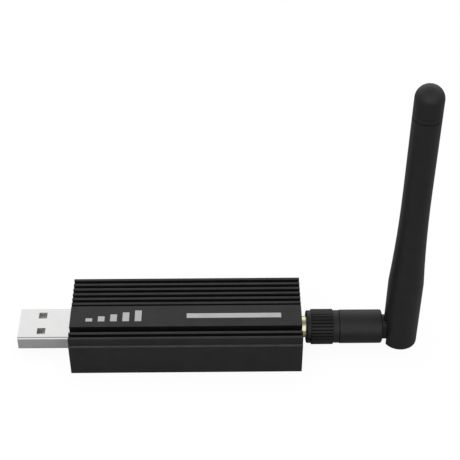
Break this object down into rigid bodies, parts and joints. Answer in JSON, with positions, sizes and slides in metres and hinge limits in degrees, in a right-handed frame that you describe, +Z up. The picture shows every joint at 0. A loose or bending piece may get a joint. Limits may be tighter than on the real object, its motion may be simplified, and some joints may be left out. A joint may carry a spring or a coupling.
{
  "type": "usb radio stick with folding antenna",
  "caption": "Finned metal stick lying flat, with a USB-A plug at one end and a folding rod antenna on a threaded coaxial jack at the other.",
  "frame": {"origin": "middle of the housing's flat underside", "axes": "+X along the stick from the plug to the antenna, +Y across it, +Z up out of the finned top"},
  "size_m": [0.116, 0.0254, 0.0909],
  "materials": {
    "anodised_shell": "fine bead-blasted black anodising",
    "black_screw": "black oxide",
    "plated_shell": "bright nickel plate",
    "plug_plastic": "moulded",
    "gold_plate": "gold plate",
    "brass": "turned",
    "spring_steel": "plain",
    "board": "solder mask",
    "chip_plastic": "moulded",
    "crystal_can": "plated can",
    "ceramic": "fired",
    "switch_plastic": "moulded",
    "ptfe": "turned",
    "grip_plastic": "satin moulded",
    "rod_plastic": "fine matt moulded",
    "cable_jacket": "smooth"
  },
  "bodies": {
    "housing": {"housing_shell": "anodised_shell", "usb_end_plate": "anodised_shell", "antenna_end_plate": "anodised_shell", "usb_end_screws": "black_screw", "antenna_end_screws": "black_screw", "usb_shell": "plated_shell", "usb_tongue": "plug_plastic", "usb_contacts": "gold_plate", "circuit_board": "board", "radio_chip": "chip_plastic", "usb_bridge_chip": "chip_plastic", "voltage_regulator": "chip_plastic", "main_crystal": "crystal_can", "clock_crystal": "crystal_can", "chip_capacitors": "ceramic", "boot_switch_base": "crystal_can", "reset_switch_base": "crystal_can", "jack_body": "gold_plate", "jack_insulator": "ptfe", "jack_contact": "gold_plate"},
    "boot_plunger": {"boot_switch_plunger": "switch_plastic"},
    "reset_plunger": {"reset_switch_plunger": "switch_plastic"},
    "antenna_plug": {"plug_ferrule": "brass", "plug_insulator": "ptfe", "plug_pin": "gold_plate", "snap_ring": "spring_steel"},
    "antenna_nut": {"coupling_nut": "brass", "nut_grip": "grip_plastic"},
    "sleeve": {"swivel_sleeve": "grip_plastic", "feed_cable": "cable_jacket"},
    "rod": {"blade_cover": "rod_plastic", "tip_cap": "rod_plastic", "radiator_sleeve": "brass", "radiator_whip": "brass"}
  },
  "joints": [
    {"name": "antenna_draw", "type": "slide", "parent": "housing", "child": "antenna_plug", "axis": [1, 0, 0], "range_m": [0, 0.00335]},
    {"name": "nut_turn", "type": "hinge", "parent": "antenna_plug", "child": "antenna_nut", "pos_m": [0.038, 0, 0.00525], "axis": [1, 0, 0], "range_deg": [0, 1710]},
    {"name": "antenna_swivel", "type": "hinge", "parent": "antenna_plug", "child": "sleeve", "pos_m": [0.0505, 0, 0.00525], "axis": [1, 0, 0], "continuous": true},
    {"name": "antenna_fold", "type": "hinge", "parent": "sleeve", "child": "rod", "pos_m": [0.06325, 0, 0.0044], "axis": [0, 1, 0], "range_deg": [0, 90], "deforming": ["feed_cable"]},
    {"name": "boot_press", "type": "slide", "parent": "housing", "child": "boot_plunger", "axis": [0, 0, -1], "range_m": [0, 0.00025], "stiffness_N_per_m": 2400, "springref_m": -0.0004},
    {"name": "reset_press", "type": "slide", "parent": "housing", "child": "reset_plunger", "axis": [0, 0, -1], "range_m": [0, 0.00025], "stiffness_N_per_m": 2400, "springref_m": -0.0004}
  ],
  "couplings": [
    {"joint": "nut_turn", "follows": "antenna_draw", "rad_per_m": 8904.7}
  ]
}
